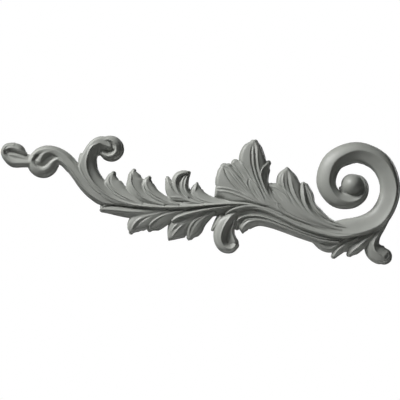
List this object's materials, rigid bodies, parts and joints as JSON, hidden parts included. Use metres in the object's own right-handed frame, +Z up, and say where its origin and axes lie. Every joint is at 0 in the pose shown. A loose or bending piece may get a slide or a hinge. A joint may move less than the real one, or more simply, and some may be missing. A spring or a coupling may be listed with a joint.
{
  "type": "scroll onlay",
  "caption": "Slender moulded scroll onlay with a large spiral volute, an acanthus leaf, a fluted rib and small end curls, for fixing flat to a panel, mirror frame or wall.",
  "frame": {"origin": "a point of the flat back, on the rib near the middle of the length", "axes": "+X along the length from the small tail curl to the volute, +Z up as it is pictured, +Y into the wall behind the flat back, so the carved front faces -Y"},
  "size_m": [0.356, 0.017, 0.115],
  "materials": {
    "primed_moulding": "grey primer, satin"
  },
  "bodies": {
    "root": {"scroll_onlay": "primed_moulding"}
  },
  "joints": []
}
